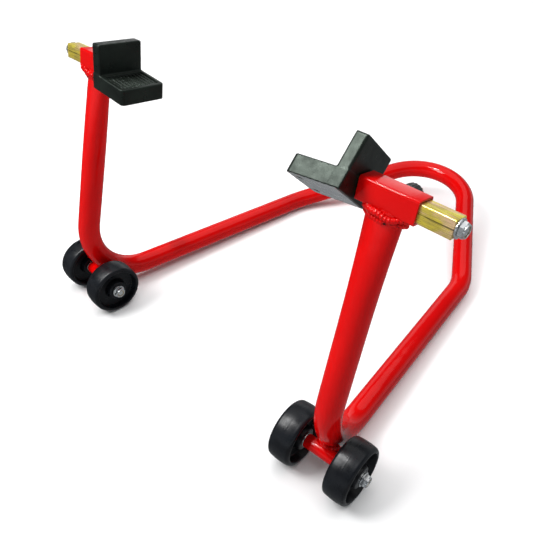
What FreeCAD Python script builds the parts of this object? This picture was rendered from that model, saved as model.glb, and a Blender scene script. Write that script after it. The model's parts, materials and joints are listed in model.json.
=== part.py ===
import FreeCAD, Part
import os
from math import cos, pi, radians, sin, tan

from FreeCAD import Placement, Rotation, Vector

# A rear paddock stand: a bent tube frame that lifts a motorcycle by its swingarm.
# Millimetres, +Z up, the handle points to +Y, and the right side is +X.
# The sides mirror each other, apart from the pads' swivel and the fasteners' direction.
# Everything is drawn with the wheels' axle line at Y = 0 and moved to the origin at the end.

X_AXIS = Vector(1, 0, 0)
Y_AXIS = Vector(0, 1, 0)
Z_AXIS = Vector(0, 0, 1)
SIDES = {"right": 1, "left": -1}

# Frame tube
TUBE_RADIUS = 14.3
TUBE_WALL = 2.0
SIDE_BEND_RADIUS = 80.0
HANDLE_BEND_RADIUS = 82.8
UPRIGHT_FOOT = Vector(212.8, -24.3, 24.7)
UPRIGHT_LEAN = 14.0
UPRIGHT_INWARD = 1.4
KNEE = Vector(162.4, 378.0, TUBE_RADIUS)
HANDLE_RISE = 12.1
HANDLE_TURN_IN = 29.66

# Flattened top of each upright
TAPER_LENGTH = 120.0
TAPER_WIDENING = 4.0
TAPER_DEPTH_LOSS = 1.18 * TAPER_WIDENING
TAPER_STEPS = 6

# Sleeve across the top of each upright
SLEEVE_CENTRE = Vector(206.5, 53.6, 327.2)
SLEEVE_LENGTH = 57.4
SLEEVE_SIZE = 22.0
SLEEVE_WALL = 2.0
SLEEVE_TILT = 10.0
SLEEVE_WELD_WIDTH = 3.2
SLEEVE_WELD_HEIGHT = 3.6

# Adjuster bar in each sleeve
BAR_SIZE = 17.0
BAR_INNER_X = 176.5
BAR_OUTER_X = 266.5
RUNNING_CLEARANCE = 0.08

# Clamp knob behind each sleeve
CLAMP_THREAD_RADIUS = 4.0
CLAMP_BOSS_RADIUS = 7.0
CLAMP_BOSS_HEIGHT = 3.0
CLAMP_OUTBOARD = 5.5
KNOB_RADIUS = 10.0
KNOB_LENGTH = 10.5
KNOB_GAP = 0.3
KNOB_ROUNDING = 1.5

# Swivel bolt through each adjuster bar
BOLT_RADIUS = 4.0
BOLT_HEAD_RADIUS = 6.8
BOLT_HEAD_HEIGHT = 4.2
BOLT_END_X = 273.3
WASHER_RADIUS = 8.8
WASHER_THICKNESS = 1.6
FACE_GAP = 0.2
NUT_FLATS = 13.0
NUT_HEIGHT = 6.0

# Pad on each swivel bolt, measured from the bolt's line with the pad level
PAD_OUTER_X = 176.2
PAD_REACH = 54.5
PAD_FRONT = -31.5
PAD_BACK = 26.0
PAD_BOTTOM = -16.3
PAD_SEAT = -0.2
PAD_TOP = 33.0
PAD_PLATE = 12.8
PAD_SLOPE = 5.8
PAD_CORNER = 5.0
PAD_TOP_CORNER = 2.5
PAD_GROOVE_DEPTH = 1.5
PAD_GROOVE_WIDTH = 2.6
PAD_GROOVE_COUNT = 10
PAD_RIM = 4.5
PAD_ANGLE = {"right": -43.0, "left": -7.0}

# Steel bracket inside each pad
BRACKET_THICKNESS = 3.0
BRACKET_SKIN = 3.5
BRACKET_LIP = 1.0
BRACKET_TOP = 27.0
SCREW_INSET = 9.0
SCREW_FROM_FRONT = (12.0, 46.0)
SCREW_HEAD_RADIUS = 3.4
SCREW_HEAD_HEIGHT = 2.0
SCREW_RADIUS = 2.0
SCREW_LENGTH = 9.0

# Wheels and axles
WHEEL_RADIUS = 35.0
WHEEL_WIDTH = 28.0
WHEEL_EDGE = 4.2
WHEEL_CROWN = 0.7
WHEEL_RIM_RADIUS = 28.5
WHEEL_HUB_RADIUS = 13.0
WHEEL_WEB = 8.0
WHEEL_OFFSET = 35.6
BUSH_RADIUS = 8.0
BUSH_OVERHANG = 0.3
AXLE_X = 208.2
AXLE_TOE = 4.0
AXLE_RADIUS = 4.0
AXLE_TUBE_RADIUS = 8.0
AXLE_TUBE_LENGTH = 42.2
AXLE_WASHER_RADIUS = 8.5
AXLE_WASHER_THICKNESS = 1.5
AXLE_HEAD_HEIGHT = 5.3
AXLE_NUT_FLATS = 13.0
AXLE_NUT_HEIGHT = 6.0
AXLE_END_INSIDE_NUT = 1.0
AXLE_WELD_RADIUS = 9.0

UPRIGHT_DIRECTION = Vector(
    -tan(radians(UPRIGHT_INWARD)) * cos(radians(UPRIGHT_LEAN)),
    sin(radians(UPRIGHT_LEAN)),
    cos(radians(UPRIGHT_LEAN)),
).normalize()
SLEEVE_PLACE = Placement(SLEEVE_CENTRE, Rotation(X_AXIS, -SLEEVE_TILT))
PIVOT = Vector(0, SLEEVE_CENTRE.y, SLEEVE_CENTRE.z)


def solid_of(shape):
    """The single solid of a boolean result, with its faces merged where they continue."""
    merged = shape.removeSplitter()
    return merged.Solids[0] if len(merged.Solids) == 1 else merged


def mirrored(shape):
    """The same shape on the other side of the stand."""
    return shape.mirror(Vector(0, 0, 0), X_AXIS)


def on_side(shape, side):
    """A right-hand shape, mirrored when the side is the left."""
    return shape if SIDES[side] > 0 else mirrored(shape)


def pad_x(distance):
    """X of a place that is this far inboard of the right pad's outer face."""
    return PAD_OUTER_X - distance


def rounded_bar(low, high, radius, axis):
    """A box between two corners, with the four edges along the axis rounded."""
    size = high - low
    box = Part.makeBox(size.x, size.y, size.z, low)
    along = [edge for edge in box.Edges if abs(edge.tangentAt(edge.FirstParameter).dot(axis)) > 0.99]
    return box.makeFillet(radius, along)


def hexagon(flats, height):
    """A hexagonal prism along +X from the origin, with its corners turned off at the far end."""
    corner_radius = flats / (2 * cos(pi / 6))
    turns = [radians(60 * index) for index in range(7)]
    points = [Vector(0, corner_radius * cos(turn), corner_radius * sin(turn)) for turn in turns]
    prism = Part.Face(Part.makePolygon(points)).extrude(X_AXIS * height)
    chamfer = corner_radius - flats / 2
    body = Part.makeCylinder(corner_radius, height - chamfer, Vector(0, 0, 0), X_AXIS)
    end = Part.makeCone(corner_radius, flats / 2, chamfer, Vector(height - chamfer, 0, 0), X_AXIS)
    return prism.common(body.fuse(end).removeSplitter())


def washer(outer_radius, inner_radius, thickness):
    """A flat ring along +X from the origin."""
    disc = Part.makeCylinder(outer_radius, thickness, Vector(0, 0, 0), X_AXIS)
    return disc.cut(Part.makeCylinder(inner_radius, thickness, Vector(0, 0, 0), X_AXIS))


def insert_size(bolt_radius, height):
    """Outer radius and thickness of the nylon ring in a locking nut of this height."""
    return bolt_radius * 1.3, height * 0.28


def locking_nut(flats, height, bolt_radius):
    """A hexagon nut along +X with a round collar that holds a nylon ring."""
    ring_radius, ring_thickness = insert_size(bolt_radius, height)
    lip = 0.4
    collar = Part.makeCylinder(flats / 2 * 0.94, height, Vector(0, 0, 0), X_AXIS)
    body = hexagon(flats, height * 0.72).fuse(collar)
    seat_start = height - ring_thickness - lip
    seat = Part.makeCylinder(ring_radius, ring_thickness, Vector(seat_start, 0, 0), X_AXIS)
    mouth = Part.makeCylinder(ring_radius - lip, height, Vector(seat_start, 0, 0), X_AXIS)
    bore = Part.makeCylinder(bolt_radius, height, Vector(0, 0, 0), X_AXIS)
    return solid_of(body.cut(seat.fuse([mouth, bore])))


def nut_insert(height, bolt_radius):
    """The nylon ring of a locking nut whose base is at the origin."""
    ring_radius, ring_thickness = insert_size(bolt_radius, height)
    ring = washer(ring_radius, bolt_radius, ring_thickness)
    ring.translate(X_AXIS * (height - ring_thickness - 0.4))
    return ring


def bent_path(points, bend_radii):
    """Edges through the points, with a tangent arc at each inner point."""
    edges = []
    start = points[0]
    for before, corner, after, radius in zip(points, points[1:], points[2:], bend_radii):
        back = (before - corner).normalize()
        ahead = (after - corner).normalize()
        half_angle = back.getAngle(ahead) / 2
        setback = radius / tan(half_angle)
        inset = radius / sin(half_angle) - radius
        middle = corner + (back + ahead).normalize() * inset
        end = corner + ahead * setback
        edges.append(Part.makeLine(start, corner + back * setback))
        edges.append(Part.Arc(corner + back * setback, middle, end).toShape())
        start = end
    edges.append(Part.makeLine(start, points[-1]))
    return edges


def rod_along(edges, radius):
    """A solid round rod whose centreline is the edges."""
    start = edges[0].valueAt(edges[0].FirstParameter)
    direction = edges[0].tangentAt(edges[0].FirstParameter)
    profile = Part.Wire(Part.makeCircle(radius, start, direction))
    return Part.Wire(edges).makePipeShell([profile], True, False)


def tube_along(edges):
    """The frame tube, hollow, along the edges."""
    return rod_along(edges, TUBE_RADIUS).cut(rod_along(edges, TUBE_RADIUS - TUBE_WALL))


def frame_centreline():
    """The tube's centreline edges, from the right upright to the left lower bend."""
    turn_in = radians(HANDLE_TURN_IN)
    rise = radians(HANDLE_RISE)
    handle_reach = KNEE.x / tan(turn_in)
    apex = Vector(0, KNEE.y + handle_reach * cos(rise), KNEE.z + handle_reach * sin(rise))
    other_knee = Vector(-KNEE.x, KNEE.y, KNEE.z)
    other_foot = Vector(-UPRIGHT_FOOT.x, UPRIGHT_FOOT.y, UPRIGHT_FOOT.z)
    points = [taper_start(), UPRIGHT_FOOT, KNEE, apex, other_knee, other_foot]
    radii = [SIDE_BEND_RADIUS, SIDE_BEND_RADIUS, HANDLE_BEND_RADIUS, SIDE_BEND_RADIUS]
    return bent_path(points, radii)


def upright_top():
    """Where the upright's centreline meets the underside of the sleeve."""
    up = SLEEVE_PLACE.Rotation.multVec(Z_AXIS)
    underside = SLEEVE_CENTRE - up * (SLEEVE_SIZE / 2)
    distance = (underside - UPRIGHT_FOOT).dot(up) / UPRIGHT_DIRECTION.dot(up)
    return UPRIGHT_FOOT + UPRIGHT_DIRECTION * distance


def taper_start():
    """Where the upright begins to flatten."""
    return upright_top() - UPRIGHT_DIRECTION * TAPER_LENGTH


def oval(centre, direction, half_width, half_depth):
    """An ellipse across the direction, with its long axis as near X as it can be."""
    outline = Part.Ellipse(Vector(0, 0, 0), half_width, half_depth).toShape()
    outline.Placement = Placement(centre, Rotation(X_AXIS, Vector(), direction, "ZXY"))
    return Part.Wire(outline)


def flattened_end(inset):
    """The solid of the upright's flattened end, made smaller all round by the inset."""
    ovals = []
    for step in range(TAPER_STEPS + 1):
        share = step / TAPER_STEPS
        centre = taper_start() + UPRIGHT_DIRECTION * (TAPER_LENGTH * share)
        half_width = TUBE_RADIUS + TAPER_WIDENING * share**2 - inset
        half_depth = TUBE_RADIUS - TAPER_DEPTH_LOSS * share**2 - inset
        ovals.append(oval(centre, UPRIGHT_DIRECTION, half_width, half_depth))
    end = Part.Face(ovals[-1]).extrude(UPRIGHT_DIRECTION * SLEEVE_SIZE / 2)
    return Part.makeLoft(ovals, True).fuse(end)


def below_sleeve():
    """A block that holds everything below the sleeve's underside."""
    block = Part.makeBox(200, 200, 400, Vector(-100, -100, -400 - SLEEVE_SIZE / 2))
    block.Placement = SLEEVE_PLACE
    return block


def tube_parts():
    """The right half of the frame tube, split where its bends begin, and the handle's end."""
    names = ["upright", "lower_bend", "rail", "knee_bend", "handle_arm", "handle_end"]
    parts = {name: tube_along([edge]) for name, edge in zip(names, frame_centreline())}
    end = flattened_end(0).cut(flattened_end(TUBE_WALL)).common(below_sleeve())
    parts["upright"] = solid_of(parts["upright"].fuse(end))
    return parts


def sleeve_block(size, length, corner):
    """A square bar along X in the sleeve's place, centred on it."""
    half = Vector(length, size, size) / 2
    block = rounded_bar(-half, half, corner, X_AXIS)
    block.Placement = SLEEVE_PLACE
    return block


def clamp_cylinder(radius, start, length):
    """A cylinder on the clamp's line, from a distance behind the sleeve's middle."""
    cylinder = Part.makeCylinder(radius, length, Vector(CLAMP_OUTBOARD, start, 0), Y_AXIS)
    cylinder.Placement = SLEEVE_PLACE
    return cylinder


def sleeve():
    """The square tube that the adjuster bar slides in, drilled for the clamp."""
    inner = SLEEVE_SIZE - 2 * SLEEVE_WALL
    tube = sleeve_block(SLEEVE_SIZE, SLEEVE_LENGTH, 2.5).cut(sleeve_block(inner, SLEEVE_LENGTH, 0.5))
    return tube.cut(clamp_cylinder(CLAMP_THREAD_RADIUS + 0.3, 0, SLEEVE_SIZE))


def sleeve_weld():
    """The bead round the flattened end, under the sleeve, with its lower edge rounded."""
    up = SLEEVE_PLACE.Rotation.multVec(Z_AXIS)
    start = upright_top() - up * SLEEVE_WELD_HEIGHT
    half_width = TUBE_RADIUS + TAPER_WIDENING + SLEEVE_WELD_WIDTH
    half_depth = TUBE_RADIUS - TAPER_DEPTH_LOSS + SLEEVE_WELD_WIDTH
    bead = Part.Face(oval(start, up, half_width, half_depth)).extrude(up * SLEEVE_SIZE / 2)
    rims = [edge for edge in bead.Edges if len(edge.Vertexes) == 1]
    lower_rim = min(rims, key=lambda edge: edge.CenterOfMass.dot(up))
    bead = bead.makeFillet(SLEEVE_WELD_WIDTH * 0.75, [lower_rim])
    return bead.cut(flattened_end(0)).cut(sleeve_block(SLEEVE_SIZE, SLEEVE_LENGTH, 2.5)).Solids[0]


def clamp_boss():
    """The welded nut that the clamp knob screws into."""
    boss = clamp_cylinder(CLAMP_BOSS_RADIUS, SLEEVE_SIZE / 2, CLAMP_BOSS_HEIGHT)
    return boss.cut(clamp_cylinder(CLAMP_THREAD_RADIUS + RUNNING_CLEARANCE, 0, 2 * SLEEVE_SIZE))


def knob_start():
    """Distance from the sleeve's middle to the knob's near face."""
    return SLEEVE_SIZE / 2 + CLAMP_BOSS_HEIGHT + KNOB_GAP


def clamp_knob():
    """The round plastic head of the clamp screw."""
    near_face = Vector(CLAMP_OUTBOARD, knob_start(), 0)
    knob = Part.makeCylinder(KNOB_RADIUS, KNOB_LENGTH, near_face, Y_AXIS)
    rims = [edge for edge in knob.Edges if len(edge.Vertexes) == 1]
    knob = knob.makeFillet(KNOB_ROUNDING, rims)
    knob.Placement = SLEEVE_PLACE
    return solid_of(knob.cut(clamp_stud()))


def clamp_stud():
    """The threaded stud from the knob to the bar."""
    start = BAR_SIZE / 2 + FACE_GAP / 2
    return clamp_cylinder(CLAMP_THREAD_RADIUS, start, knob_start() + KNOB_LENGTH * 0.7 - start)


def adjuster_bar():
    """The square bar in the sleeve, bored for the swivel bolt."""
    half = BAR_SIZE / 2
    low = Vector(BAR_INNER_X - SLEEVE_CENTRE.x, -half, -half)
    high = Vector(BAR_OUTER_X - SLEEVE_CENTRE.x, half, half)
    bar = rounded_bar(low, high, 1.0, X_AXIS)
    near_end = Vector(low.x, 0, 0)
    bore_radius = BOLT_RADIUS + RUNNING_CLEARANCE
    bar = bar.cut(Part.makeCylinder(bore_radius, high.x - low.x, near_end, X_AXIS))
    bar.Placement = SLEEVE_PLACE
    return bar


def pad_outline(points):
    """A solid across the pad's whole length from (inboard distance, height) points."""
    corners = [Vector(pad_x(distance), PAD_FRONT, height) for distance, height in points]
    face = Part.Face(Part.makePolygon(corners + corners[:1]))
    return face.extrude(Y_AXIS * (PAD_BACK - PAD_FRONT))


def pad_drop(distance):
    """How far the seat has sloped down at this distance from the pad's outer face."""
    return distance * tan(radians(PAD_SLOPE))


def pad_plan(inset):
    """A tall block with the pad's plan, made smaller by the inset on its three free edges."""
    lowest = PAD_BOTTOM - pad_drop(PAD_REACH)
    low = Vector(pad_x(PAD_REACH - inset), PAD_FRONT + inset, lowest)
    high = Vector(pad_x(-PAD_CORNER), PAD_BACK - inset, PAD_TOP)
    return rounded_bar(low, high, PAD_CORNER - inset, Z_AXIS)


def pad_block():
    """The pad as an L with rounded corners, before anything is cut out of it."""
    seat_drop = pad_drop(PAD_REACH - PAD_PLATE)
    block = pad_outline([
        (0, PAD_BOTTOM),
        (0, PAD_TOP),
        (PAD_PLATE, PAD_TOP),
        (PAD_PLATE, PAD_SEAT),
        (PAD_REACH, PAD_SEAT - seat_drop),
        (PAD_REACH, PAD_BOTTOM - pad_drop(PAD_REACH)),
    ])
    lowest = PAD_BOTTOM - pad_drop(PAD_REACH)
    upright_limit = rounded_bar(
        Vector(pad_x(PAD_REACH), PAD_FRONT, lowest - PAD_TOP_CORNER),
        Vector(pad_x(0), PAD_BACK, PAD_TOP),
        PAD_TOP_CORNER,
        X_AXIS,
    )
    return block.common(upright_limit).common(pad_plan(0))


def in_seat_plane(shape):
    """A shape drawn level at the seat's outer edge, turned to the seat's slope."""
    shape.rotate(Vector(pad_x(PAD_PLATE), 0, PAD_SEAT), Y_AXIS, -PAD_SLOPE)
    return shape


def seat_grooves():
    """The grooves in the seat, which run across the stand."""
    length = PAD_REACH - PAD_PLATE - 2 * PAD_RIM
    pitch = (PAD_BACK - PAD_FRONT - 2 * PAD_RIM) / PAD_GROOVE_COUNT
    grooves = []
    for index in range(PAD_GROOVE_COUNT):
        y = PAD_FRONT + PAD_RIM + pitch * (index + 0.5) - PAD_GROOVE_WIDTH / 2
        corner = Vector(pad_x(PAD_PLATE + PAD_RIM) - length, y, PAD_SEAT - PAD_GROOVE_DEPTH)
        groove = Part.makeBox(length, PAD_GROOVE_WIDTH, 2 * PAD_GROOVE_DEPTH, corner)
        grooves.append(in_seat_plane(groove))
    return grooves


def screw_places():
    """Points on the pad's underside where its screws go in."""
    distance = PAD_REACH - SCREW_INSET
    height = PAD_BOTTOM - pad_drop(distance)
    return [Vector(pad_x(distance), PAD_FRONT + along, height) for along in SCREW_FROM_FRONT]


def screw_direction():
    """Up through the bracket, square to the seat."""
    return Rotation(Y_AXIS, -PAD_SLOPE).multVec(Z_AXIS)


def pad_screws():
    """The two screws that hold the rubber to the bracket."""
    screws = []
    for place in screw_places():
        head = Part.makeCylinder(SCREW_HEAD_RADIUS, SCREW_HEAD_HEIGHT, place, screw_direction())
        shank = Part.makeCylinder(SCREW_RADIUS, SCREW_LENGTH, place, screw_direction())
        screws.append(solid_of(head.fuse(shank)))
    return Part.makeCompound(screws)


def screw_recesses():
    """The round recesses in the pad's underside that the screw heads sit in."""
    radius = SCREW_HEAD_RADIUS + FACE_GAP
    up = screw_direction()
    return [Part.makeCylinder(radius, SCREW_HEAD_HEIGHT, place, up) for place in screw_places()]


def pad_bracket():
    """The steel angle inside the pad, open to view only underneath, within a lip of rubber."""
    inner = BRACKET_SKIN + BRACKET_THICKNESS
    angle = pad_outline([
        (BRACKET_SKIN, PAD_BOTTOM - pad_drop(BRACKET_SKIN)),
        (BRACKET_SKIN, BRACKET_TOP),
        (inner, BRACKET_TOP),
        (inner, PAD_BOTTOM + BRACKET_THICKNESS - pad_drop(inner)),
        (PAD_REACH, PAD_BOTTOM + BRACKET_THICKNESS - pad_drop(PAD_REACH)),
        (PAD_REACH, PAD_BOTTOM - pad_drop(PAD_REACH)),
    ])
    narrow_low = Vector(pad_x(inner), PAD_FRONT, PAD_BOTTOM + BRACKET_THICKNESS)
    narrow_high = Vector(pad_x(BRACKET_SKIN), PAD_BACK, BRACKET_TOP + BRACKET_SKIN)
    inset = Vector(0, BRACKET_SKIN, 0)
    sides = rounded_bar(narrow_low, narrow_high, 0.1, X_AXIS)
    kept = rounded_bar(narrow_low + inset, narrow_high - inset, 0.1, X_AXIS)
    hole = Part.makeCylinder(BOLT_RADIUS, PAD_REACH, Vector(pad_x(PAD_REACH), 0, 0), X_AXIS)
    angle = angle.cut(sides.cut(kept)).common(pad_plan(BRACKET_LIP))
    return solid_of(angle.cut([hole, pad_screws()] + screw_recesses()))


def rubber_pad():
    """The moulded rubber round the bracket, with the grooved seat."""
    skin_start = Vector(pad_x(BRACKET_SKIN), 0, 0)
    bolt_way = Part.makeCylinder(BOLT_RADIUS + FACE_GAP, BRACKET_SKIN, skin_start, X_AXIS)
    removed = [pad_bracket(), pad_screws(), swivel_bolt(), bolt_way]
    return solid_of(pad_block().cut(removed + seat_grooves() + screw_recesses()))


def swivel_bolt():
    """The bolt that the pad turns on, from inside the pad to the outer nut."""
    neck = Vector(pad_x(BRACKET_SKIN + BRACKET_THICKNESS), 0, 0)
    head = Part.makeCylinder(BOLT_HEAD_RADIUS, BOLT_HEAD_HEIGHT, neck, -X_AXIS)
    shank = Part.makeCylinder(BOLT_RADIUS, BOLT_END_X - neck.x, neck, X_AXIS)
    return solid_of(head.fuse(shank))


def washer_x():
    """X of the outer washer's inner face."""
    return BAR_OUTER_X + FACE_GAP


def swivel_washer():
    ring = washer(WASHER_RADIUS, BOLT_RADIUS, WASHER_THICKNESS)
    ring.translate(X_AXIS * washer_x())
    return ring


def swivel_nut():
    nut = locking_nut(NUT_FLATS, NUT_HEIGHT, BOLT_RADIUS)
    nut.translate(X_AXIS * (washer_x() + WASHER_THICKNESS))
    return nut


def swivel_insert():
    ring = nut_insert(NUT_HEIGHT, BOLT_RADIUS)
    ring.translate(X_AXIS * (washer_x() + WASHER_THICKNESS))
    return ring


def on_swivel(shape, side):
    """A pad piece, turned to its side's resting angle and moved to the bar's line."""
    turned = shape.copy()
    turned.rotate(Vector(0, 0, 0), X_AXIS, PAD_ANGLE[side])
    turned.translate(PIVOT)
    return on_side(turned, side)


def axle_place(side):
    """The middle of a side's axle, turned to its toe angle."""
    sign = SIDES[side]
    return Placement(Vector(sign * AXLE_X, 0, WHEEL_RADIUS), Rotation(Z_AXIS, sign * AXLE_TOE))


def on_axle(shape, side, along=0):
    """A shape drawn along X, moved along the axle and put on a side's axle."""
    moved = shape.copy()
    moved.translate(X_AXIS * along)
    moved.Placement = axle_place(side).multiply(moved.Placement)
    return moved


def wheel():
    """A solid wheel with a crowned tread, deep faces and a hub."""
    half = WHEEL_WIDTH / 2
    web = WHEEL_WEB / 2
    shoulder = WHEEL_RADIUS - WHEEL_CROWN
    edge = WHEEL_EDGE * (1 - cos(pi / 4))
    tread = Part.Arc(
        Vector(-half + WHEEL_EDGE, shoulder, 0),
        Vector(0, WHEEL_RADIUS, 0),
        Vector(half - WHEEL_EDGE, shoulder, 0),
    )
    corners = [
        Part.Arc(
            Vector(sign * (half - WHEEL_EDGE), shoulder, 0),
            Vector(sign * (half - edge), shoulder - edge, 0),
            Vector(sign * half, shoulder - WHEEL_EDGE, 0),
        )
        for sign in (1, -1)
    ]
    face = [
        (half, shoulder - WHEEL_EDGE),
        (half, WHEEL_RIM_RADIUS),
        (web, WHEEL_RIM_RADIUS - 1),
        (web, WHEEL_HUB_RADIUS + 1),
        (half, WHEEL_HUB_RADIUS),
        (half, BUSH_RADIUS),
    ]
    outline = [Vector(x, y, 0) for x, y in face] + [Vector(-x, y, 0) for x, y in reversed(face)]
    edges = [tread.toShape(), corners[0].toShape(), corners[1].toShape()]
    edges += [Part.makeLine(start, end) for start, end in zip(outline, outline[1:])]
    profile = Part.Face(Part.Wire(Part.__sortEdges__(edges)))
    return profile.revolve(Vector(0, 0, 0), X_AXIS, 360)


def wheel_bush():
    """The bush pressed into a wheel's hub."""
    length = WHEEL_WIDTH + 2 * BUSH_OVERHANG
    bush = washer(BUSH_RADIUS, AXLE_RADIUS + RUNNING_CLEARANCE, length)
    bush.translate(X_AXIS * (-length / 2))
    return bush


def axle_tube():
    """The short tube that the axle bolt runs through."""
    tube = washer(AXLE_TUBE_RADIUS, AXLE_RADIUS + RUNNING_CLEARANCE, AXLE_TUBE_LENGTH)
    tube.translate(X_AXIS * (-AXLE_TUBE_LENGTH / 2))
    return tube


def axle_weld():
    """The saddle of weld between the right axle tube and the bend above it."""
    edges = frame_centreline()[:3]
    bend_middle = edges[1].valueAt((edges[1].FirstParameter + edges[1].LastParameter) / 2)
    start = axle_place("right").Base
    reach = bend_middle - start
    saddle = Part.makeCylinder(AXLE_WELD_RADIUS, reach.Length, start, reach)
    near_end = Vector(-AXLE_TUBE_LENGTH / 2, 0, 0)
    axle_room = Part.makeCylinder(AXLE_TUBE_RADIUS, AXLE_TUBE_LENGTH, near_end, X_AXIS)
    saddle = saddle.cut([on_axle(axle_room, "right"), rod_along(edges, TUBE_RADIUS)])
    return max(saddle.Solids, key=lambda solid: solid.Volume)


def bush_end():
    """Distance from the axle's middle to the outer end of a wheel's bush."""
    return WHEEL_OFFSET + WHEEL_WIDTH / 2 + BUSH_OVERHANG


def axle_washers(side):
    """The two washers of one axle, outside its wheels."""
    ring = washer(AXLE_WASHER_RADIUS, AXLE_RADIUS, AXLE_WASHER_THICKNESS)
    start = bush_end() + FACE_GAP
    return Part.makeCompound([on_axle(ring, side, start), on_axle(ring, side, -axle_stack_end())])


def axle_stack_end():
    """Distance from the axle's middle to the face that the nut and the head bear on."""
    return bush_end() + FACE_GAP + AXLE_WASHER_THICKNESS


def axle_bolt(side):
    """The bolt through both wheels of a side, with its head at the -X end."""
    end = axle_stack_end()
    length = 2 * end + AXLE_NUT_HEIGHT - AXLE_END_INSIDE_NUT
    shank = Part.makeCylinder(AXLE_RADIUS, length, Vector(-end, 0, 0), X_AXIS)
    head = hexagon(AXLE_NUT_FLATS, AXLE_HEAD_HEIGHT)
    head.rotate(Vector(0, 0, 0), Z_AXIS, 180)
    head.translate(X_AXIS * -end)
    return on_axle(solid_of(shank.fuse(head)), side)


def axle_nut(side):
    return on_axle(locking_nut(AXLE_NUT_FLATS, AXLE_NUT_HEIGHT, AXLE_RADIUS), side, axle_stack_end())


def axle_insert(side):
    return on_axle(nut_insert(AXLE_NUT_HEIGHT, AXLE_RADIUS), side, axle_stack_end())


def frame_shapes():
    """The tubes, the welds and the pieces that are fixed to them."""
    right_hand = tube_parts()
    shapes = {"handle_end": right_hand.pop("handle_end")}
    right_hand.update({
        "sleeve": sleeve(),
        "sleeve_weld": sleeve_weld(),
        "clamp_boss": clamp_boss(),
        "axle_tube": on_axle(axle_tube(), "right"),
        "axle_weld": axle_weld(),
    })
    for side in SIDES:
        for name, shape in right_hand.items():
            shapes[f"{side}_{name}"] = on_side(shape, side)
    return shapes


def axle_shapes(side):
    """The bolt, nut, washers and both wheels of one side."""
    shapes = {
        f"{side}_axle_bolt": axle_bolt(side),
        f"{side}_axle_nut": axle_nut(side),
        f"{side}_axle_nut_insert": axle_insert(side),
        f"{side}_axle_washers": axle_washers(side),
    }
    for place, along in (("outer", WHEEL_OFFSET), ("inner", -WHEEL_OFFSET)):
        distance = SIDES[side] * along
        shapes[f"{side}_{place}_wheel"] = on_axle(wheel(), side, distance)
        shapes[f"{side}_{place}_wheel_bush"] = on_axle(wheel_bush(), side, distance)
    return shapes


def adjuster_shapes(side):
    """The bar, its clamp and the pad of one side."""
    shapes = {
        f"{side}_adjuster_bar": on_side(adjuster_bar(), side),
        f"{side}_clamp_knob": on_side(clamp_knob(), side),
        f"{side}_clamp_stud": on_side(clamp_stud(), side),
    }
    swivelling = {
        "rubber_pad": rubber_pad(),
        "pad_bracket": pad_bracket(),
        "pad_screws": pad_screws(),
        "swivel_bolt": swivel_bolt(),
        "swivel_washer": swivel_washer(),
        "swivel_nut": swivel_nut(),
        "swivel_nut_insert": swivel_insert(),
    }
    for name, shape in swivelling.items():
        shapes[f"{side}_{name}"] = on_swivel(shape, side)
    return shapes


def main():
    shapes = frame_shapes()
    for side in SIDES:
        shapes.update(axle_shapes(side))
        shapes.update(adjuster_shapes(side))
    box = Part.makeCompound(list(shapes.values())).optimalBoundingBox(False, False)
    to_middle = Vector(0, -(box.YMin + box.YMax) / 2, 0)
    os.makedirs("parts", exist_ok=True)
    for name, shape in shapes.items():
        shape.translate(to_middle)
        shape.exportStep(f"parts/{name}.step")
        print(f"{name}: {len(shape.Solids)} solid, {shape.Volume:.0f} mm3, valid {shape.isValid()}")
    print(f"moved along Y by {to_middle.y:.3f}; size {box.XLength:.1f} x {box.YLength:.1f} x {box.ZLength:.1f}")


main()
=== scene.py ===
"""The looks of a rear paddock stand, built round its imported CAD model. Metres, +Z up."""

import json
from itertools import product
from math import atan, cos, pi, radians, sin, sqrt, tan

import bmesh
import bpy
import numpy as np
from mathutils import Matrix, Vector, noise


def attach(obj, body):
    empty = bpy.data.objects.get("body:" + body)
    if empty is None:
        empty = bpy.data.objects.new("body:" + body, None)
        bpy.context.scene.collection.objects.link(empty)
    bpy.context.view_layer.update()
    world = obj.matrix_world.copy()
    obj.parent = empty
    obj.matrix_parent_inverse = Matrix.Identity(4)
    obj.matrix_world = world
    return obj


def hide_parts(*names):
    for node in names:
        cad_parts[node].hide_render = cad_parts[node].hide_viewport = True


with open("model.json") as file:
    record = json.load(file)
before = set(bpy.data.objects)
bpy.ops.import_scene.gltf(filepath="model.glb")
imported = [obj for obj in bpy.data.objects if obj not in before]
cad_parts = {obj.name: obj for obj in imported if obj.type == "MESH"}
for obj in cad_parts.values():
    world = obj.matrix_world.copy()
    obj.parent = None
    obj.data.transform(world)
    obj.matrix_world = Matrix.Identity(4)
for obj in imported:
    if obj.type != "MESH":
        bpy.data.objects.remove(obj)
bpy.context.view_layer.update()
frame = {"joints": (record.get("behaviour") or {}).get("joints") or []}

MM = 0.001
SIDES = {"right": 1, "left": -1}
JOINTS = {joint["name"]: joint for joint in frame["joints"]}

# Sizes in millimetres, as in the CAD model
TUBE_RADIUS = 14.3
SIDE_BEND = 80.0
HANDLE_BEND = 82.8
FOOT = Vector((212.8, -24.3, 24.7))
KNEE = Vector((162.4, 378.0, TUBE_RADIUS))
HANDLE_RISE = radians(12.1)
HANDLE_TURN_IN = radians(29.66)
UPRIGHT_LEAN = radians(14.0)
UPRIGHT_INWARD = radians(1.4)
TAPER_LENGTH = 120.0
TAPER_WIDENING = 4.0
TAPER_DEPTH_LOSS = 1.18 * TAPER_WIDENING
SLEEVE_CENTRE = Vector((206.5, 53.6, 327.2))
SLEEVE_LENGTH = 57.4
SLEEVE_SIZE = 22.0
SLEEVE_WALL = 2.0
SLEEVE_CORNER = 2.2
SLEEVE_INNER_CORNER = 0.6
SLEEVE_TILT = radians(10.0)
BAR_SIZE = 17.0
BAR_X = (176.5, 266.5)
CLAMP_OUTBOARD = 5.5
BOLT_RADIUS = 4.0
BOLT_BORE = 4.05
CLOSE_BORE = 4.08
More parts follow.
